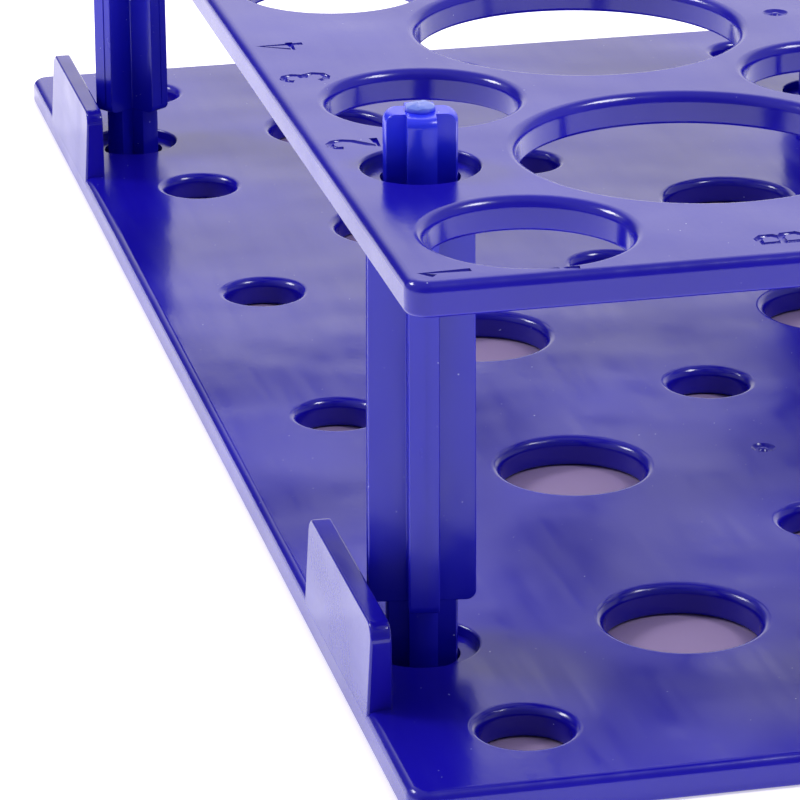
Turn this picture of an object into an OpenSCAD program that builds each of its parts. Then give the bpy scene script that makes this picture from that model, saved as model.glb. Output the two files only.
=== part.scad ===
// Two-tier knock-down rack for wide and slim centrifuge tubes: two drilled plates on four loose posts.
// Millimetres, +Z up. Origin: centre of the lower plate's underside. +X runs along the long side and
// the plates' marks read upright from the -Y side.

/* [Overall size] */
// Length of both plates along X
length = 210.1; // [150:0.1:300]
// Width of both plates along Y
width = 102.6; // [80:0.1:160]
// Height from the lower plate's top face to the upper plate's top face
tier_h = 44.3; // [30:0.1:80]

/* [Plates] */
// Thickness of each plate
plate_t = 2.9; // [2:0.1:6]
// Radius of the plates' four corners seen from above
corner_r = 2; // [1.2:0.1:5]
// Rounding along the upper rim of each plate
rim_top_r = 0.9; // [0.3:0.05:1.1]
// Rounding along the lower rim of each plate
rim_low_r = 0.4; // [0.2:0.05:0.8]

/* [Tube holes] */
// Diameter of the upper holes for wide tubes
wide_d = 30.3; // [20:0.1:40]
// Diameter of the upper holes for slim tubes
slim_d = 17; // [10:0.1:25]
// Diameter of the lower holes that take the tips of wide tubes
wide_tip_d = 14.2; // [6:0.1:20]
// Diameter of the lower holes that take the tips of slim tubes
slim_tip_d = 8; // [4:0.1:14]
// Solid web between neighbouring wide holes in one row
wide_web = 7.4; // [4:0.1:14]
// Solid web between a wide hole and its nearest slim hole
mixed_web = 3.4; // [2.4:0.1:8]
// Solid web between the short edges and the nearest slim holes
end_web = 2.3; // [2:0.1:12]
// Solid web between the long edges and the nearest slim holes
side_web = 4; // [2:0.1:12]
// Rounding of the upper lip of every tube hole
lip_r = 0.95; // [0.3:0.05:1.2]
// Rounding of the lower lip of every tube hole
lip_low_r = 0.35; // [0.1:0.05:0.8]

/* [Posts] */
// Width across a post's arms at its lower shoulder
post_w_low = 9.5; // [7:0.1:14]
// Width across a post's arms at its upper shoulder
post_w_top = 9.2; // [7:0.1:14]
// Thickness of a post's arms
arm_t = 2.65; // [1.6:0.05:4]
// Diameter of the plugs at both ends of a post
plug_d = 6.4; // [4:0.1:9]
// Thickness of the plugs' four lobes
lobe_t = 2.5; // [1.4:0.05:3.4]
// Height of the upper plugs above the upper plate
plug_stand = 5.5; // [2:0.1:12]
// Height of the posts' lower shoulders above the lower plate as the rack stands
shoulder_gap = 4.6; // [1:0.1:8]
// Gap between a tab's foot and the lip of the round recess beside it
tab_gap = 0.17; // [0.1:0.01:4]
// Turn of the front left post about its own axis
turn_a = -9.7; // [-45:0.1:45]
// Turn of the back left post about its own axis
turn_b = 35.8; // [-45:0.1:45]
// Turn of the front right post about its own axis
turn_c = 4; // [-45:0.1:45]
// Turn of the back right post about its own axis
turn_d = 9; // [-45:0.1:45]

/* [Post sockets] */
// Gap between a plug and its hole, on the radius
plug_gap = 0.25; // [0.1:0.05:0.5]
// Gap between a post's arms and its round recess, on the radius
recess_gap = 0.15; // [0.1:0.05:0.6]
// Depth of the round recess above each post hole
recess_h = 1; // [0.5:0.1:1.5]
// Rounding of the recess lip
recess_lip_r = 0.3; // [0.1:0.05:0.4]

/* [Edge tabs] */
// Length of each upright tab on the lower plate
tab_l = 25.8; // [12:0.1:40]
// Height of each tab above the lower plate
tab_h = 7.8; // [3:0.1:15]
// Thickness of each tab at its foot
tab_t = 2.35; // [1.5:0.05:2.6]
// How far the outer face of a tab leans inwards at its top
tab_lean = 0.5; // [0:0.05:0.8]
// Rounding of the tab's two upper corners
tab_r = 1.6; // [0.5:0.1:3]

/* [Hidden] */
$fn = 96;
end_margin = slim_d/2 + end_web;
side_margin = slim_d/2 + side_web;
slim_rows = floor((length - 2*end_margin)/(wide_d + wide_web) + 0.02) + 1;
row_pitch = (length - 2*end_margin)/(slim_rows - 1);
mixed_reach = (wide_d + slim_d)/2 + mixed_web;
col_least = max((wide_d + wide_web)/2, sqrt(max(1, mixed_reach*mixed_reach - row_pitch*row_pitch/4)));
col_pairs = max(1, floor((width - 2*side_margin)/(2*col_least) + 0.02));
col_pitch = (width - 2*side_margin)/(2*col_pairs);
top_z = plate_t + tier_h;
under_z = top_z - plate_t;
shoulder_z = plate_t + shoulder_gap;
plug_r = plug_d/2;
socket_r = plug_r + plug_gap;
recess_r = sqrt(post_w_low*post_w_low + arm_t*arm_t)/2 + recess_gap;
post_x = length/2 - end_margin - row_pitch/2;
post_y = width/2 - tab_t - tab_gap - recess_lip_r - recess_r;
arm_r = 0.9;
plug_round = 0.8;

// centre of a hole: columns count from the +Y edge, rows from the -X end
function hole_x(row) = -length/2 + end_margin + row*row_pitch;
function hole_y(col) = width/2 - side_margin - col*col_pitch;

// plate outline seen from above, with four rounded corners
module outline() {
  x = length/2 - corner_r;
  y = width/2 - corner_r;
  square([2*x, 2*y + 2*corner_r], center = true);
  square([2*x + 2*corner_r, 2*y], center = true);
  for (sx = [-1, 1], sy = [-1, 1]) translate([sx*x, sy*y]) circle(r = corner_r);
}

// cross-section of a plate that is span wide, with rounded upper and lower rims
module rim_section(span) {
  up = rim_top_r;
  low = rim_low_r;
  translate([up - span/2, 0]) square([span - 2*up, plate_t]);
  translate([low - span/2, 0]) square([span - 2*low, plate_t - up]);
  translate([-span/2, low]) square([span, plate_t - up - low]);
  for (s = [-1, 1]) {
    translate([s*(span/2 - up), plate_t - up]) circle(r = up);
    translate([s*(span/2 - low), low]) circle(r = low);
  }
}

// plain slab with rounded upper and lower rims, its underside at z = 0
module slab() {
  intersection() {
    translate([0, 0, -1]) linear_extrude(height = plate_t + 2) outline();
    rotate([90, 0, 90]) linear_extrude(height = length + 4, center = true) rim_section(width);
    rotate([90, 0, 0]) linear_extrude(height = width + 4, center = true) rim_section(length);
  }
}

// cutter for a round hole of radius r from z = z0 up to the plate's top face, with rounded lips
module lipped_hole(r, z0, up, low) {
  translate([0, 0, z0 - 1]) cylinder(h = plate_t - z0 + 2, r = r);
  rotate_extrude() difference() {
    translate([0, plate_t - up]) square([r + up, up + 1]);
    translate([r + up, plate_t - up]) circle(r = up);
  }
  if (low > 0) rotate_extrude() difference() {
    translate([0, z0 - 1]) square([r + low, low + 1]);
    translate([r + low, z0 + low]) circle(r = low);
  }
}

// cutter for one post socket: a through hole for the plug under a shallow round recess
module socket_cut() {
  translate([0, 0, -1]) cylinder(h = plate_t + 2, r = socket_r);
  translate([0, 0, plate_t - recess_h]) cylinder(h = recess_h + 1, r = recess_r);
  rotate_extrude() difference() {
    translate([0, plate_t - recess_lip_r]) square([recess_r + recess_lip_r, recess_lip_r + 1]);
    translate([recess_r + recess_lip_r, plate_t - recess_lip_r]) circle(r = recess_lip_r);
  }
}

// plate with slim and wide holes on a staggered grid and four post sockets
module drilled_plate(slim, wide) {
  difference() {
    slab();
    for (row = [0 : slim_rows - 1], pair = [0 : col_pairs])
      translate([hole_x(row), hole_y(2*pair), 0]) lipped_hole(slim/2, 0, lip_r, lip_low_r);
    for (row = [0 : slim_rows - 2], pair = [0 : col_pairs - 1])
      translate([hole_x(row + 0.5), hole_y(2*pair + 1), 0])
        lipped_hole(wide/2, 0, lip_r, lip_low_r);
    for (sx = [-1, 1], sy = [-1, 1]) translate([sx*post_x, sy*post_y, 0]) socket_cut();
  }
}

// upright tab for the +Y edge, centred on x = 0, its outer face flush with the plate's side
module tab() {
  foot = plate_t - rim_top_r - 0.2;
  rise = tab_h + plate_t - foot;
  translate([0, width/2, foot]) intersection() {
    rotate([90, 0, -90]) linear_extrude(height = tab_l, center = true)
      polygon([[0, 0], [tab_t, 0], [tab_t - 0.05, rise], [tab_lean, rise]]);
    translate([0, 1, 0]) rotate([90, 0, 0]) linear_extrude(height = tab_t + 2) {
      translate([-tab_l/2, 0]) square([tab_l, rise - tab_r]);
      translate([tab_r - tab_l/2, 0]) square([tab_l - 2*tab_r, rise]);
      for (s = [-1, 1]) translate([s*(tab_l/2 - tab_r), rise - tab_r]) circle(r = tab_r);
    }
  }
}

module lower_plate() {
  color([0.10, 0.08, 0.62]) {
    drilled_plate(slim_tip_d, wide_tip_d);
    for (s = [-1, 1]) {
      translate([s*post_x, 0, 0]) tab();
      rotate([0, 0, 180]) translate([s*post_x, 0, 0]) tab();
    }
  }
}

module upper_plate() {
  color([0.12, 0.10, 0.66]) translate([0, 0, under_z]) drilled_plate(slim_d, wide_d);
}

// one flat arm pair of a post, standing in the XZ plane, its shoulders at z = 0 and z = h
module arm_pair(h) {
  low = post_w_low/2;
  top = post_w_top/2;
  rotate([90, 0, 0]) linear_extrude(height = arm_t, center = true) {
    polygon([[-low, arm_r], [low, arm_r], [top, h - arm_r], [-top, h - arm_r]]);
    translate([arm_r - low, 0]) square([2*low - 2*arm_r, 2*arm_r]);
    translate([arm_r - top, h - 2*arm_r]) square([2*top - 2*arm_r, 2*arm_r]);
    for (s = [-1, 1]) {
      translate([s*(low - arm_r), arm_r]) circle(r = arm_r);
      translate([s*(top - arm_r), h - arm_r]) circle(r = arm_r);
    }
  }
}

// four-lobed plug that stands up from z = 0, with a rounded end
module plug(h) {
  intersection() {
    union() for (a = [0, 90]) rotate([0, 0, a])
      translate([-plug_d, -lobe_t/2, -1]) cube([2*plug_d, lobe_t, h + 2]);
    union() {
      translate([0, 0, -1]) cylinder(h = h + 1 - plug_round, r = plug_r);
      cylinder(h = h, r = plug_r - plug_round);
      translate([0, 0, h - plug_round]) rotate_extrude()
        translate([plug_r - plug_round, 0]) circle(r = plug_round);
    }
  }
}

// loose post: cross-shaped bar with a plug at each end, lower plug ending flush with the plate
module post(turn) {
  h = under_z - shoulder_z;
  translate([0, 0, shoulder_z]) rotate([0, 0, turn]) {
    arm_pair(h);
    rotate([0, 0, 90]) arm_pair(h);
    translate([0, 0, h]) plug(plate_t + plug_stand);
    rotate([180, 0, 0]) plug(shoulder_z);
  }
}

module post_front_left() {
  color([0.13, 0.11, 0.70]) translate([-post_x, post_y, 0]) post(turn_a);
}

module post_back_left() {
  color([0.13, 0.11, 0.70]) translate([post_x, post_y, 0]) post(turn_b);
}

module post_front_right() {
  color([0.13, 0.11, 0.70]) translate([-post_x, -post_y, 0]) post(turn_c);
}

module post_back_right() {
  color([0.13, 0.11, 0.70]) translate([post_x, -post_y, 0]) post(turn_d);
}

lower_plate();
upper_plate();
post_front_left();
post_back_left();
post_front_right();
post_back_right();
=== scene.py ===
"""Two-tier knock-down rack for wide and slim centrifuge tubes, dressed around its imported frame."""
import math

import bmesh
import bpy
from mathutils import Matrix, Vector


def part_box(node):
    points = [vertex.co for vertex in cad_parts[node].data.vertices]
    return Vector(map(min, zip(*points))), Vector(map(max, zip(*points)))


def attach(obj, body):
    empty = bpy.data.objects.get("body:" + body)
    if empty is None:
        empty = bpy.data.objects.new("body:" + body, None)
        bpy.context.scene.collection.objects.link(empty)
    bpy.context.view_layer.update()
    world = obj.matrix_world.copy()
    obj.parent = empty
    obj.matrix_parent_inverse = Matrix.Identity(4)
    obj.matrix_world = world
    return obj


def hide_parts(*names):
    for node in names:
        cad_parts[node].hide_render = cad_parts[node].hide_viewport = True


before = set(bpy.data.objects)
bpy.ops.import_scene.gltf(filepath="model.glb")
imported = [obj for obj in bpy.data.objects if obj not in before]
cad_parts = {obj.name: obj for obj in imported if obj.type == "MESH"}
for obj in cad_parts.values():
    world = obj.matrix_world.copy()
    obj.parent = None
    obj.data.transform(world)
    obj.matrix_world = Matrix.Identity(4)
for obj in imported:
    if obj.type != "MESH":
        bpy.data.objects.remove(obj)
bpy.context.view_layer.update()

# ---- Lower plate: blank and tabs ---------------------------------------------------------------
# One injection moulding in glossy blue polypropylene: a flat plate with rounded rims and four
# upright tabs that stand flush with its long sides, beside the post sockets.
MM = 0.001
CORNER_R, RIM_TOP_R, RIM_LOW_R = 2 * MM, 0.9 * MM, 0.4 * MM
TAB_LONG, TAB_THICK, TAB_TIP = 25.8 * MM, 2.35 * MM, 2.3 * MM
TAB_LEAN, TAB_CORNER_R, TAB_EDGE_R = 0.5 * MM, 1.6 * MM, 0.22 * MM
TAB_ROOTED = 0.2 * MM  # how far a tab's foot lies below the rim's rounding
SHARP = math.radians(40)  # an edge turning more than this is still to be rounded
lower_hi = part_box("lower_plate")[1]
upper_lo, upper_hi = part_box("upper_plate")
PLATE_T = upper_hi.z - upper_lo.z
HALF_X, HALF_Y = lower_hi.x, lower_hi.y
posts = {n: 0.5 * (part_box(n)[0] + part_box(n)[1]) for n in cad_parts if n.startswith("post_")}
POST_X = max(c.x for c in posts.values())


def start_edit(obj, mode="EDGE"):
    bpy.ops.object.select_all(action="DESELECT")
    obj.select_set(True)
    bpy.context.view_layer.objects.active = obj
    bpy.ops.object.mode_set(mode="EDIT")
    bpy.ops.mesh.select_mode(type=mode)
    bpy.ops.mesh.select_all(action="DESELECT")


def end_edit():
    bpy.ops.object.mode_set(mode="OBJECT")


def pick(obj, kind, test):
    """Selects the verts, edges or faces of obj that pass test, in edit mode."""
    bpy.ops.mesh.select_all(action="DESELECT")
    bm = bmesh.from_edit_mesh(obj.data)
    for part in getattr(bm, kind):
        part.select_set(bool(test(part)))
    bmesh.update_edit_mesh(obj.data)


def block(name, lo, hi):
    """A plain block between two corners, as the start of a piece."""
    bpy.ops.object.select_all(action="DESELECT")
    middle, size = (Vector(lo) + Vector(hi)) / 2, Vector(hi) - Vector(lo)
    bpy.ops.mesh.primitive_cube_add(size=1, location=middle, scale=size)
    bpy.ops.object.transform_apply(location=True, rotation=True, scale=True)
    obj = bpy.context.object
    obj.name = name
    return obj


def round_edges(obj, radius, steps, test):
    pick(obj, "edges", test)
    bpy.ops.mesh.bevel(offset=radius, segments=steps, profile=0.5, affect="EDGES",
                       clamp_overlap=False)


def at(z, value):
    return abs(z - value) < 1e-6


def apply_modifier(obj, kind, **values):
    bpy.ops.object.select_all(action="DESELECT")
    obj.select_set(True)
    bpy.context.view_layer.objects.active = obj
    modifier = obj.modifiers.new("step", kind)
    for key, value in values.items():
        setattr(modifier, key, value)
    bpy.ops.object.modifier_apply(modifier=modifier.name)


def combine(obj, tool, operation, selfish=False):
    """Joins tool to obj, or cuts it out, as solids."""
    solver = "EXACT" if selfish else "MANIFOLD"
    apply_modifier(obj, "BOOLEAN", object=tool, operation=operation, solver=solver,
                   use_self=selfish)
    bpy.data.objects.remove(tool)


def join(pieces):
    bpy.ops.object.select_all(action="DESELECT")
    for p in pieces:
        p.select_set(True)
    bpy.context.view_layer.objects.active = pieces[0]
    if len(pieces) > 1:
        bpy.ops.object.join()
    return bpy.context.object


def copy_to(obj, name, placing):
    """A copy with its own mesh, whose points are moved by placing."""
    other = obj.copy()
    other.data = obj.data.copy()
    other.name = name
    other.data.transform(placing)
    bpy.context.scene.collection.objects.link(other)
    return other


def plate_blank(name, z0):
    blank = block(name, (-HALF_X, -HALF_Y, z0), (HALF_X, HALF_Y, z0 + PLATE_T))
    start_edit(blank)
    round_edges(blank, CORNER_R, 10, lambda e: not at(e.verts[0].co.z, e.verts[1].co.z))
    round_edges(blank, RIM_TOP_R, 8, lambda e: all(at(v.co.z, z0 + PLATE_T) for v in e.verts))
    round_edges(blank, RIM_LOW_R, 4, lambda e: all(at(v.co.z, z0) for v in e.verts))
    end_edit()
    return blank


def edge_tab():
    """One tab for the +Y side at x = 0."""
    foot, top = PLATE_T - RIM_TOP_R - TAB_ROOTED, lower_hi.z
    y_in, y_out = HALF_Y - TAB_THICK, HALF_Y
    tab = block("tab", (-TAB_LONG / 2, y_in, foot), (TAB_LONG / 2, y_out, top))
    start_edit(tab)
    pick(tab, "verts", lambda v: at(v.co.z, top) and at(v.co.y, y_out))
    bpy.ops.transform.translate(value=(0, -TAB_LEAN, 0))
    pick(tab, "verts", lambda v: at(v.co.z, top) and at(v.co.y, y_in))
    bpy.ops.transform.translate(value=(0, TAB_THICK - TAB_TIP, 0))
    round_edges(tab, TAB_CORNER_R, 8, lambda e: all(at(v.co.z, top) for v in e.verts)
                and at(e.verts[0].co.x, e.verts[1].co.x))
    # the moulded edges all round, but for the foot that runs into the plate
    bpy.ops.mesh.select_all(action="DESELECT")
    bpy.ops.mesh.edges_select_sharp(sharpness=SHARP)
    sharp = {e.index for e in bmesh.from_edit_mesh(tab.data).edges if e.select}
    round_edges(tab, TAB_EDGE_R, 3,
                lambda e: e.index in sharp and not all(at(v.co.z, foot) for v in e.verts))
    end_edit()
    return tab


lower = plate_blank("rack_lower_plate", 0.0)
first_tab = edge_tab()
half_turn = Matrix.Rotation(math.pi, 4, "Z")
tabs = [copy_to(first_tab, "tab", turn @ Matrix.Translation((side * POST_X, 0, 0)))
        for turn in (Matrix.Identity(4), half_turn) for side in (-1, 1)]
bpy.data.objects.remove(first_tab)
combine(lower, join(tabs), "UNION")

# ---- Holes, sockets and gate dimples of both plates --------------------------------------------
# Every tube hole has a generous rounded lip on top and a small one below; each post has a plain
# socket under a shallow round recess. Cutters are turned, copied to their places and cut out.
END_WEB, SIDE_WEB = 2.3 * MM, 4 * MM
SLIM_R, WIDE_R, SLIM_TIP_R, WIDE_TIP_R = 8.5 * MM, 15.15 * MM, 4 * MM, 7.1 * MM
LIP_TOP_R, LIP_LOW_R = 0.95 * MM, 0.35 * MM
SOCKET_R, RECESS_R, RECESS_DEEP, RECESS_LIP_R = 3.45 * MM, 5.08 * MM, 1 * MM, 0.3 * MM
SLIM_ROWS, COLUMNS = 6, 5
ROW_STEP = 2 * (HALF_X - END_WEB - SLIM_R) / (SLIM_ROWS - 1)
COLUMN_STEP = 2 * (HALF_Y - SIDE_WEB - SLIM_R) / (COLUMNS - 1)
GRAZE = 0.0005 * MM  # keeps a lip's last facet from lying exactly in the plate's face
PAST = 0.5 * MM  # how far a cutter runs past a face
SLIM_COLUMNS, WIDE_COLUMNS = 3, 2


def turned(name, profile, sides, place=(0, 0)):
    """A solid of revolution about a vertical axis: a disc drawn up by (radius, height) pairs."""
    bpy.ops.object.select_all(action="DESELECT")
    r0, z0 = profile[0]
    bpy.ops.mesh.primitive_circle_add(vertices=sides, radius=r0, fill_type="NGON",
                                      location=(place[0], place[1], z0))
    bpy.ops.object.transform_apply(location=True, rotation=True, scale=True)
    obj = bpy.context.object
    obj.name = name
    bpy.ops.object.mode_set(mode="EDIT")
    bpy.ops.mesh.select_mode(type="FACE")
    bpy.ops.mesh.select_all(action="SELECT")
    for r, z in profile[1:]:
        bpy.ops.mesh.extrude_region_move(TRANSFORM_OT_translate={"value": (0, 0, z - z0)})
        bpy.ops.transform.resize(value=(r / r0, r / r0, 1), center_override=(place[0], place[1], z))
        r0, z0 = r, z
    bpy.ops.mesh.select_all(action="SELECT")
    bpy.ops.mesh.normals_make_consistent(inside=False)
    end_edit()
    return obj


def arc(cr, cz, radius, start, stop, steps):
    """Points of a rounding about (cr, cz), from start to stop degrees."""
    return [(cr + radius * math.cos(math.radians(start + (stop - start) * k / steps)),
             cz + radius * math.sin(math.radians(start + (stop - start) * k / steps)))
            for k in range(steps + 1)]


def lipped_cutter(radius, z0, sides):
    low, top = LIP_LOW_R, LIP_TOP_R
    z1 = z0 + PLATE_T
    profile = [(radius + low, z0 - PAST)]
    profile += arc(radius + low, z0 + low - GRAZE, low, 270, 180, 3)
    profile += arc(radius + top, z1 - top + GRAZE, top, 180, 90, 10)
    profile += [(radius + top, z1 + PAST)]
    return turned("hole_cutter", profile, sides)


def socket_cutter(z0):
    z1 = z0 + PLATE_T
    profile = [(SOCKET_R, z0 - PAST), (SOCKET_R, z1 - RECESS_DEEP), (RECESS_R, z1 - RECESS_DEEP)]
    profile += arc(RECESS_R + RECESS_LIP_R, z1 - RECESS_LIP_R + GRAZE, RECESS_LIP_R, 180, 90, 5)
    profile += [(RECESS_R + RECESS_LIP_R, z1 + PAST)]
    return turned("socket_cutter", profile, 72)


def hole_places(wide):
    if wide:
        return [(-HALF_X + END_WEB + SLIM_R + (row + 0.5) * ROW_STEP,
                 HALF_Y - SIDE_WEB - SLIM_R - (2 * pair + 1) * COLUMN_STEP)
                for pair in range(WIDE_COLUMNS) for row in range(SLIM_ROWS - 1)]
    return [(-HALF_X + END_WEB + SLIM_R + row * ROW_STEP,
             HALF_Y - SIDE_WEB - SLIM_R - 2 * pair * COLUMN_STEP)
            for pair in range(SLIM_COLUMNS) for row in range(SLIM_ROWS)]


def cut_holes(plate, z0, slim_r, wide_r, slim_sides, wide_sides):
    cutters = []
    for wide, radius, sides in ((False, slim_r, slim_sides), (True, wide_r, wide_sides)):
        first = lipped_cutter(radius, z0, sides)
        cutters += [copy_to(first, "cutter", Matrix.Translation((x, y, 0)))
                    for x, y in hole_places(wide)]
        bpy.data.objects.remove(first)
    first = socket_cutter(z0)
    cutters += [copy_to(first, "cutter", Matrix.Translation((c.x, c.y, 0)))
                for c in posts.values()]
    bpy.data.objects.remove(first)
    combine(plate, join(cutters), "DIFFERENCE")


def gate_marks(plate, z0):
    """The two sprue scars in the middle column: a small flush pimple in a shallow dish."""
    top = z0 + PLATE_T
    dish = [(0.08, -0.01), (0.22, -0.03), (0.38, -0.12), (0.46, -0.24), (0.56, -0.30),
            (0.74, -0.29), (0.92, -0.22), (1.06, -0.11), (1.16, -0.03), (1.22, 0.02), (1.24, 0.3)]
    dish = [(r * MM, top + z * MM) for r, z in dish]
    for side in (-1, 1):
        combine(plate, turned("dish", dish, 40, (side * ROW_STEP, 0)), "DIFFERENCE")


def finish_shading(obj, angle=38):
    bpy.ops.object.select_all(action="DESELECT")
    obj.select_set(True)
    bpy.context.view_layer.objects.active = obj
    bpy.ops.object.shade_smooth_by_angle(angle=math.radians(angle))
    apply_modifier(obj, "WEIGHTED_NORMAL", mode="FACE_AREA", weight=50, keep_sharp=True)


gate_marks(lower, 0.0)
cut_holes(lower, 0.0, SLIM_TIP_R, WIDE_TIP_R, 72, 96)
finish_shading(lower)

# ---- Upper plate ------------------------------------------------------------------------------
# The same moulding with full-size holes and no tabs. Column letters and row numbers are shallow
# round-bottomed grooves that read along the long side.
MARK_HIGH, MARK_R, MARK_RAISED = 4.0 * MM, 0.42 * MM, 0.17 * MM
NUMBER_Y, NUMBER_WIDE = 3.65 * MM, 2.4 * MM
FIGURE_WIDE, FIGURE_STEP = 1.7 * MM, 2.3 * MM  # in a number with two figures
FIRST_IN, LAST_IN, BESIDE_SOCKET, BESIDE_HOLE = 2.6 * MM, 2.8 * MM, 7.3 * MM, 8.7 * MM
LAST_NUMBER, MIDDLE_NUMBER = 11, 6
EDGE_LETTER = (1.85 * MM, 1.3 * MM, 3.4 * MM)  # inset, width and height beside a slim hole
OPEN_LETTER = (4.2 * MM, 2.4 * MM, MARK_HIGH)  # and where the edge is clear
STROKES = {
    "0": [[(.5, 1), (.2, .9), (.04, .68), (.04, .32), (.2, .1), (.5, 0), (.8, .1), (.96, .32),
          (.96, .68), (.8, .9), (.5, 1)]],
    "1": [[(.2, .78), (.52, 1), (.52, 0)]],
    "2": [[(.06, .76), (.1, .9), (.3, 1), (.62, 1), (.88, .88), (.92, .68), (.78, .48), (.3, .2),
          (.04, 0), (.96, 0)]],
    "3": [[(.06, .8), (.16, .94), (.45, 1), (.78, .93), (.88, .76), (.76, .58), (.46, .53)],
          [(.46, .53), (.8, .46), (.94, .27), (.8, .07), (.46, 0), (.14, .06), (.04, .22)]],
    "4": [[(.72, 0), (.72, 1), (.04, .3), (.98, .3)]],
    "5": [[(.86, 1), (.2, 1), (.12, .56), (.46, .64), (.8, .56), (.94, .33), (.8, .08), (.44, 0),
          (.1, .1)]],
    "6": [[(.84, .93), (.5, 1), (.2, .82), (.06, .42), (.14, .12), (.48, 0), (.82, .1),
          (.94, .32), (.8, .54), (.5, .6), (.2, .5), (.08, .34)]],
    "7": [[(.04, 1), (.94, 1), (.56, .5), (.38, 0)]],
    "8": [[(.5, .54), (.18, .64), (.14, .86), (.5, 1), (.86, .86), (.82, .64), (.5, .54),
          (.12, .42), (.06, .14), (.5, 0), (.94, .14), (.88, .42), (.5, .54)]],
    "9": [[(.16, .07), (.5, 0), (.8, .18), (.94, .58), (.86, .88), (.52, 1), (.18, .9),
          (.06, .68), (.2, .46), (.5, .4), (.8, .5), (.92, .66)]],
    "A": [[(0, 0), (.5, 1), (1, 0)], [(.2, .38), (.8, .38)]],
    "B": [[(.1, 0), (.1, 1), (.6, 1), (.84, .88), (.84, .66), (.6, .53), (.1, .53)], [(.6, .53),
          (.9, .42), (.94, .16), (.64, 0), (.1, 0)]],
    "C": [[(.94, .8), (.76, .95), (.5, 1), (.18, .86), (.04, .5), (.18, .14), (.5, 0),
          (.76, .05), (.94, .2)]],
    "D": [[(.1, 0), (.1, 1), (.5, 1), (.84, .82), (.96, .5), (.84, .18), (.5, 0), (.1, 0)]],
    "E": [[(.9, 1), (.1, 1), (.1, 0), (.9, 0)], [(.1, .53), (.74, .53)]],
}


def groove(name, strokes, width, high, centre, z):
    """Round-ended tubes along a character's strokes, to be cut out of the face at height z."""
    curve = bpy.data.curves.new(name, "CURVE")
    curve.dimensions = "3D"
    curve.bevel_depth = MARK_R
    curve.bevel_resolution = 3
    curve.use_fill_caps = True
    for points in strokes:
        spline = curve.splines.new("POLY")
        spline.points.add(len(points) - 1)
        for spot, (u, v) in zip(spline.points, points):
            spot.co = (centre[0] + (u - 0.5) * width, centre[1] + (v - 0.5) * high,
                       z + MARK_RAISED, 1)
    obj = bpy.data.objects.new(name, curve)
    bpy.context.scene.collection.objects.link(obj)
    bpy.ops.object.select_all(action="DESELECT")
    obj.select_set(True)
    bpy.context.view_layer.objects.active = obj
    bpy.ops.object.convert(target="MESH")
    return bpy.context.object


def number_x(number):
    """Even numbers stand between two slim holes, odd ones beside theirs, clear of the sockets."""
    if number == 1:
        return -HALF_X + FIRST_IN
    if number == LAST_NUMBER:
        return HALF_X - LAST_IN
    x = -HALF_X + END_WEB + SLIM_R + (number - 1) * ROW_STEP / 2
    inwards = 1 if number < MIDDLE_NUMBER else -1
    if number in (2, LAST_NUMBER - 1):
        return x + inwards * BESIDE_SOCKET
    return x + inwards * BESIDE_HOLE if number % 2 else x


def write_marks(plate, z):
    """Row numbers 1 to 11 along the +Y side and column letters A to E along the -X side."""
    marks = []
    for number in range(1, LAST_NUMBER + 1):
        text = str(number)
        wide = FIGURE_WIDE if len(text) > 1 else NUMBER_WIDE
        for k, figure in enumerate(text):
            spread = (k - (len(text) - 1) / 2) * FIGURE_STEP
            marks.append(groove("mark", STROKES[figure], wide, MARK_HIGH,
                                (number_x(number) + spread, HALF_Y - NUMBER_Y), z))
    for column, letter in enumerate("ABCDE"):
        y = HALF_Y - SIDE_WEB - SLIM_R - column * COLUMN_STEP
        inset, wide, high = OPEN_LETTER if column % 2 else EDGE_LETTER
        marks.append(groove("mark", STROKES[letter], wide, high, (-HALF_X + inset, y), z))
    combine(plate, join(marks), "DIFFERENCE", selfish=True)


upper = plate_blank("rack_upper_plate", upper_lo.z)
write_marks(upper, upper_hi.z)
gate_marks(upper, upper_lo.z)
cut_holes(upper, upper_lo.z, SLIM_R, WIDE_R, 96, 128)
finish_shading(upper)

# ---- Posts ------------------------------------------------------------------------------------
# Four loose mouldings: a cross-section bar with rounded shoulders and a four-lobed plug at each
# end. They are pushed into the sockets by hand and stand at slightly different turns.
ARM_LOW, ARM_TOP, ARM_T, ARM_R = 9.5 * MM, 9.2 * MM, 2.65 * MM, 0.9 * MM
LOBE_T, PLUG_R, PLUG_ROUND = 2.5 * MM, 3.2 * MM, 0.8 * MM
ARM_EDGE_R, LOBE_EDGE_R = 0.14 * MM, 0.12 * MM
SHOULDER_Z, NUB_HIGH, NUB_ROUGH = 7.5 * MM, 0.6 * MM, 0.07 * MM
SUNK, CLEAR = 0.4 * MM, 0.5 * MM  # a plug's root inside the arms, and its blank past the tip
SEAM_PROUD, SEAM_FROM, SEAM_TO, SEAM_SUNK = 0.09 * MM, -0.30 * MM, -0.18 * MM, 0.6 * MM
NUB = [(1.15, -0.9), (1.32, -0.55), (1.24, -0.22), (0.95, -0.06), (0.45, 0.0), (0.12, -0.02)]
POST_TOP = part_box("post_front_left")[1].z
TURNS = {"post_front_left": -9.7, "post_back_left": 35.8,
         "post_front_right": 4, "post_back_right": 9}


def arm_pair(z0, z1):
    """The two arms that stand in the XZ plane, rounded at all four shoulders."""
    arm = block("arm", (-ARM_LOW / 2, -ARM_T / 2, z0), (ARM_LOW / 2, ARM_T / 2, z1))
    start_edit(arm)
    pick(arm, "verts", lambda v: at(v.co.z, z1))
    bpy.ops.transform.resize(value=(ARM_TOP / ARM_LOW, 1, 1), center_override=(0, 0, z1))
    round_edges(arm, ARM_R, 6, lambda e: at(e.verts[0].co.z, e.verts[1].co.z)
                and at(e.verts[0].co.x, e.verts[1].co.x))
    end_edit()
    return arm


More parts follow.
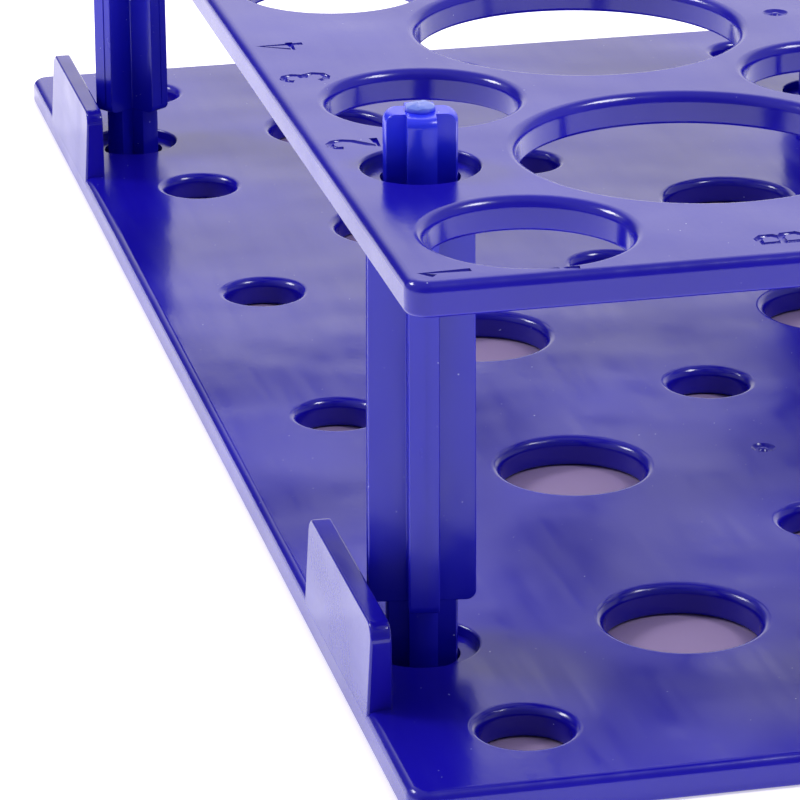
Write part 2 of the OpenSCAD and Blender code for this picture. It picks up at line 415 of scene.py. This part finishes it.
def plug_end(z_base, z_tip):
    """A rod with lobes: two crossed slabs cut to a rounded pin."""
    way = 1 if z_tip > z_base else -1
    lo, hi = sorted((z_base - way * SUNK, z_tip + way * CLEAR))
    reach = PLUG_R * 1.3
    slab = block("slab", (-reach, -LOBE_T / 2, lo), (reach, LOBE_T / 2, hi))
    cross = block("cross", (-LOBE_T / 2, -reach, lo), (LOBE_T / 2, reach, hi))
    combine(slab, cross, "UNION")
    pin = [(PLUG_R, z_base - way * SUNK)]
    pin += [(r, z_tip - way * (PLUG_ROUND - h))
            for r, h in arc(PLUG_R - PLUG_ROUND, 0, PLUG_ROUND, 0, 90, 6)]
    combine(slab, turned("pin", pin, 96), "INTERSECT")
    return slab


def make_post():
    """Crossed arms, a plug at each end and the rough nub of the cut sprue on the upper one."""
    arms = arm_pair(SHOULDER_Z, upper_lo.z)
    across = copy_to(arms, "across", Matrix.Rotation(math.pi / 2, 4, "Z"))
    combine(arms, across, "UNION")
    start_edit(arms)
    bpy.ops.mesh.edges_select_sharp(sharpness=SHARP)
    bpy.ops.mesh.bevel(offset=ARM_EDGE_R, segments=3, profile=0.5, affect="EDGES",
                       clamp_overlap=True)
    end_edit()
    for base, tip in ((upper_lo.z, POST_TOP - NUB_HIGH), (SHOULDER_Z, 0.0)):
        plug = plug_end(base, tip)
        start_edit(plug)
        bpy.ops.mesh.edges_select_sharp(sharpness=SHARP)
        bpy.ops.mesh.bevel(offset=LOBE_EDGE_R, segments=2, profile=0.5, affect="EDGES",
                           clamp_overlap=True)
        end_edit()
        combine(arms, plug, "UNION")
    nub = turned("nub", [(r * MM, POST_TOP + z * MM) for r, z in NUB], 28)
    start_edit(nub)
    bpy.ops.mesh.select_all(action="SELECT")
    bpy.ops.transform.vertex_random(offset=NUB_ROUGH, uniform=0, normal=0, seed=4)
    end_edit()
    combine(arms, nub, "UNION")
    return arms


def add_seams(post):
    """The mould's parting line: a hair-thin ridge up the end of each arm."""
    seams = []
    for quarter in range(4):
        seam = block("seam", (-ARM_LOW / 2 - SEAM_PROUD, SEAM_FROM, SHOULDER_Z + ARM_R),
                     (-ARM_LOW / 2 + SEAM_SUNK, SEAM_TO, upper_lo.z - ARM_R))
        start_edit(seam)
        pick(seam, "verts", lambda v: v.co.z > upper_lo.z - 2 * MM)
        bpy.ops.transform.translate(value=((ARM_LOW - ARM_TOP) / 2, 0, 0))
        end_edit()
        seam.data.transform(Matrix.Rotation(quarter * math.pi / 2, 4, "Z"))
        seams.append(seam)
    for seam in seams:
        combine(post, seam, "UNION")
    return post


first_post = add_seams(make_post())
dressed_posts = {}
for node, centre in posts.items():
    turn = Matrix.Rotation(math.radians(TURNS[node]), 4, "Z")
    post = copy_to(first_post, "rack_" + node, Matrix.Translation((centre.x, centre.y, 0)) @ turn)
    finish_shading(post, 32)
    dressed_posts[node] = post
bpy.data.objects.remove(first_post)

# ---- Plastic ----------------------------------------------------------------------------------
# Deep blue polypropylene with a moulded gloss: slow sink waves in the skin, fine handling
# scratches that dull it, and a few specks of dust. The thin lobes of the plugs get a paler
# painted glow for light shining through them, and a cut sprue is whitened.
CLOUD_SCALE, SPECK_SCALE, SCUFF_SCALE, PEEL_SCALE = 45, 2600, 220, 1400
CLOUD_FROM, CLOUD_TO, SPECK_FROM, SPECK_TO = 0.35, 0.68, 0.815, 0.84
# the lobes' colour is a painted glow for light shining through the thin lobes; the sprue's colour is
# its whitening
SPECK, LOBE_PAINTED_GLOW, SPRUE_TINT = (0.45, 0.5, 0.85, 1), (0.020, 0.034, 0.88, 1), (0.16, 0.24, 0.80, 1)
SCUFF_STRETCH, SCUFF_FROM, SCUFF_TO = (0.25, 3.0, 1.0), 0.35, 0.75
WAVE_DEEP, PEEL_DEEP, PEEL_STRENGTH = 1 * MM, 0.02 * MM, 0.35
BLACK, WHITE = (0, 0, 0, 1), (1, 1, 1, 1)


def map_range(tree, value, start, stop, low=0.0, high=1.0, curve="LINEAR"):
    """A Map Range node from start..stop to low..high; gives its output socket."""
    node = tree.nodes.new("ShaderNodeMapRange")
    node.interpolation_type = curve
    for socket, number in (("From Min", start), ("From Max", stop), ("To Min", low),
                           ("To Max", high)):
        node.inputs[socket].default_value = number
    tree.links.new(value, node.inputs["Value"])
    return node.outputs["Result"]


def mix_colour(tree, factor, first, second):
    """A colour Mix node; first and second are a socket or a plain colour."""
    node = tree.nodes.new("ShaderNodeMix")
    node.data_type = "RGBA"
    tree.links.new(factor, node.inputs["Factor"])
    for name, colour in (("A", first), ("B", second)):
        if isinstance(colour, tuple):
            node.inputs[name].default_value = colour
        else:
            tree.links.new(colour, node.inputs[name])
    return node.outputs["Result"]


def moulded_plastic(name, pale, deep, wave_scale, wave_strength, rough_low, rough_high, dust,
                    painted_glow_above=None):
    """The plastic's skin; above the given height the thin lobes get a painted glow, for light
    through them, and the sprue its whitened tint.
    """
    material = bpy.data.materials.new(name)
    material.use_nodes = True
    tree = material.node_tree
    nodes, links = tree.nodes, tree.links
    nodes.clear()
    out = nodes.new("ShaderNodeOutputMaterial")
    skin = nodes.new("ShaderNodeBsdfPrincipled")
    links.new(skin.outputs["BSDF"], out.inputs["Surface"])
    skin.inputs["IOR"].default_value = 1.5
    skin.inputs["Specular IOR Level"].default_value = 0.5
    where = nodes.new("ShaderNodeTexCoord")

    def noise(scale, detail, stretch=None):
        tex = nodes.new("ShaderNodeTexNoise")
        tex.inputs["Scale"].default_value = scale
        tex.inputs["Detail"].default_value = detail
        if stretch:
            place = nodes.new("ShaderNodeMapping")
            place.inputs["Scale"].default_value = stretch
            links.new(where.outputs["Object"], place.inputs["Vector"])
            links.new(place.outputs["Vector"], tex.inputs["Vector"])
        else:
            links.new(where.outputs["Object"], tex.inputs["Vector"])
        return tex.outputs["Fac"]

    def ramp(value, first, second):
        node = nodes.new("ShaderNodeValToRGB")
        for element, (position, colour) in zip(node.color_ramp.elements, (first, second)):
            element.position, element.color = position, colour
        links.new(value, node.inputs["Fac"])
        return node.outputs["Color"]

    def bump(height, distance, strength, under=None):
        node = nodes.new("ShaderNodeBump")
        node.inputs["Distance"].default_value = distance
        node.inputs["Strength"].default_value = strength
        links.new(height, node.inputs["Height"])
        if under:
            links.new(under, node.inputs["Normal"])
        return node.outputs["Normal"]

    colour = ramp(noise(CLOUD_SCALE, 3), (CLOUD_FROM, (*deep, 1)), (CLOUD_TO, (*pale, 1)))
    if painted_glow_above is not None:
        split = nodes.new("ShaderNodeSeparateXYZ")
        links.new(where.outputs["Object"], split.inputs["Vector"])
        # first a painted glow on the thin lobes for light shining through them, then the sprue's
        # whitening
        for start, stop, tint_or_painted_glow in (
                (painted_glow_above - MM, painted_glow_above + 3 * MM, LOBE_PAINTED_GLOW),
                (POST_TOP - 0.55 * MM, POST_TOP - 0.2 * MM, SPRUE_TINT)):
            height = map_range(tree, split.outputs["Z"], start, stop)
            colour = mix_colour(tree, height, colour, tint_or_painted_glow)
    specks = ramp(noise(SPECK_SCALE, 1), (SPECK_FROM - dust, BLACK), (SPECK_TO - dust, WHITE))
    links.new(mix_colour(tree, specks, colour, SPECK), skin.inputs["Base Color"])

    scuffs = noise(SCUFF_SCALE, 4, SCUFF_STRETCH)
    links.new(map_range(tree, scuffs, SCUFF_FROM, SCUFF_TO, rough_low, rough_high),
              skin.inputs["Roughness"])

    waves = bump(noise(wave_scale, 2), WAVE_DEEP, wave_strength)
    links.new(bump(noise(PEEL_SCALE, 2), PEEL_DEEP, PEEL_STRENGTH, waves), skin.inputs["Normal"])
    return material


plate_plastic = moulded_plastic(
    "blue_plate_plastic", pale=(0.0095, 0.0050, 0.405), deep=(0.0075, 0.0036, 0.340),
    wave_scale=42, wave_strength=0.60, rough_low=0.14, rough_high=0.24, dust=0.0)
# the posts' plugs above the upper plate get the painted glow of light through their lobes
post_plastic = moulded_plastic(
    "blue_post_plastic", pale=(0.0100, 0.0095, 0.550), deep=(0.0080, 0.0075, 0.470),
    wave_scale=90, wave_strength=0.16, rough_low=0.16, rough_high=0.28, dust=0.03,
    painted_glow_above=upper_hi.z)
for piece, body, node, finish in [
        (lower, "base", "lower_plate", plate_plastic),
        (upper, "deck", "upper_plate", plate_plastic),
        *[(dressed_posts[n], n, n, post_plastic) for n in posts]]:
    piece.data.materials.clear()
    piece.data.materials.append(finish)
    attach(piece, body)
    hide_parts(node)
for node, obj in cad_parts.items():
    obj.data.materials.clear()
    obj.data.materials.append(post_plastic if node.startswith("post_") else plate_plastic)

# ---- Table, light and camera ------------------------------------------------------------------
# A plain white table, a little lit from within beside the rack and with painted shade under it,
# in a soft white room with one bright side, two dim ones and a softbox on each side of the rack.
TABLE_R, TABLE_DROP, TABLE_GLOW, TABLE_ROUGH = 3, 0.1 * MM, 0.75, 0.6
TABLE_GLOW_TINT, TABLE_WHITE = (1, 0.98, 1, 1), (0.92, 0.90, 0.92, 1)
# painted shade: the table's colour under the rack, darkened where the rack's shadow falls
TABLE_PAINTED_SHADE = (0.34, 0.25, 0.44, 1)
FADE_IN, FADE_OUT = 4 * MM, 2 * MM
ROOM_LIGHT, ROOM_TINT = 0.50, (1, 0.955, 0.98, 1)
# azimuth, elevation, inner and outer radius in degrees, and the light added
PATCHES = ((-20, 21, 19, 38, 0.80), (22, 10, 13, 26, -0.42), (172, 0, 35, 75, -0.34))
SOFTBOX_AWAY, SOFTBOX_RADIANCE, SOFTBOX_AIM = 0.9, 20, Vector((-0.06, 0.02, 0.03))

bpy.ops.object.select_all(action="DESELECT")
bpy.ops.mesh.primitive_circle_add(vertices=96, radius=TABLE_R, fill_type="NGON",
                                  location=(0, 0, -TABLE_DROP))
table = bpy.context.object
table.name = "table"
table_white_with_painted_shade = bpy.data.materials.new("table_white_with_painted_shade")
table_white_with_painted_shade.use_nodes = True
board = table_white_with_painted_shade.node_tree
surface = board.nodes["Principled BSDF"]
surface.inputs["Roughness"].default_value = TABLE_ROUGH
surface.inputs["Emission Color"].default_value = TABLE_GLOW_TINT


def table_math(operation, *values):
    """A Math node of the table's material on sockets or plain numbers; gives its output."""
    node = board.nodes.new("ShaderNodeMath")
    node.operation = operation
    for socket, value in zip(node.inputs, values):
        if isinstance(value, (int, float)):
            socket.default_value = value
        else:
            board.links.new(value, socket)
    return node.outputs["Value"]


spread = board.nodes.new("ShaderNodeTexCoord")
apart = board.nodes.new("ShaderNodeSeparateXYZ")
board.links.new(spread.outputs["Object"], apart.inputs["Vector"])
# mask: 0 under the rack, where the table gets its painted shade and no glow; 1 beside it
beside = table_math("MAXIMUM", *[
    map_range(board, table_math("ABSOLUTE", apart.outputs[axis]), half - FADE_IN, half + FADE_OUT,
              curve="SMOOTHSTEP")
    for axis, half in (("X", HALF_X), ("Y", HALF_Y))])
board.links.new(table_math("MULTIPLY", beside, TABLE_GLOW), surface.inputs["Emission Strength"])
# painted shade under the rack, plain white beside it
board.links.new(mix_colour(board, beside, TABLE_PAINTED_SHADE, TABLE_WHITE), surface.inputs["Base Color"])
table.data.materials.append(table_white_with_painted_shade)

world = bpy.data.worlds.new("studio")
bpy.context.scene.world = world
world.use_nodes = True
sky, sky_links = world.node_tree.nodes, world.node_tree.links
glow = sky["Background"]
glow.inputs["Color"].default_value = ROOM_TINT


def toward(azimuth, elevation, inner, outer, gain):
    """Light added in a soft round patch of the room, angles in degrees from +X towards +Y."""
    a, e = math.radians(azimuth), math.radians(elevation)
    aim = sky.new("ShaderNodeVectorMath")
    aim.operation = "DOT_PRODUCT"
    aim.inputs[1].default_value = (math.cos(e) * math.cos(a), math.cos(e) * math.sin(a),
                                   math.sin(e))
    sky_links.new(room.outputs["Generated"], aim.inputs[0])
    return map_range(world.node_tree, aim.outputs["Value"], math.cos(math.radians(outer)),
                     math.cos(math.radians(inner)), high=gain, curve="SMOOTHSTEP")


room = sky.new("ShaderNodeTexCoord")
strength = None
for patch in PATCHES:
    add = sky.new("ShaderNodeMath")
    add.inputs[0].default_value = ROOM_LIGHT
    if strength:
        sky_links.new(strength, add.inputs[0])
    sky_links.new(toward(*patch), add.inputs[1])
    strength = add.outputs[0]
sky_links.new(strength, glow.inputs["Strength"])


def softbox(name, direction, wide, high):
    data = bpy.data.lights.new(name, "AREA")
    data.shape = "RECTANGLE"
    data.size, data.size_y = wide, high
    data.energy = SOFTBOX_RADIANCE * math.pi * wide * high
    lamp = bpy.data.objects.new(name, data)
    bpy.context.scene.collection.objects.link(lamp)
    way = Vector(direction).normalized()
    lamp.location = SOFTBOX_AIM + way * SOFTBOX_AWAY
    lamp.rotation_euler = way.to_track_quat("Z", "Y").to_euler()


softbox("softbox_left", (0.416, 0.651, 0.635), 0.26, 0.20)
softbox("softbox_right", (-0.243, -0.498, 0.831), 0.30, 0.22)

LENS, SENSOR, CLIP = 196.36, 36, (0.01, 20)
CAMERA_AT = Vector((-0.41855, 0.12380, 0.16118))
LOOK, ROLL = Vector((0.91005, -0.20828, -0.35837)).normalized(), -0.00463505
level = LOOK.cross(Vector((0, 0, 1))).normalized()
rise = level.cross(LOOK)
right = math.cos(ROLL) * level + math.sin(ROLL) * rise
up = -math.sin(ROLL) * level + math.cos(ROLL) * rise
lens = bpy.data.cameras.new("camera")
lens.lens, lens.sensor_width = LENS, SENSOR
lens.clip_start, lens.clip_end = CLIP
camera = bpy.data.objects.new("camera", lens)
bpy.context.scene.collection.objects.link(camera)
facing = Matrix((right, up, -LOOK)).transposed().to_4x4()
camera.matrix_world = Matrix.Translation(CAMERA_AT) @ facing
bpy.context.scene.camera = camera
bpy.context.scene.view_settings.view_transform = "Standard"
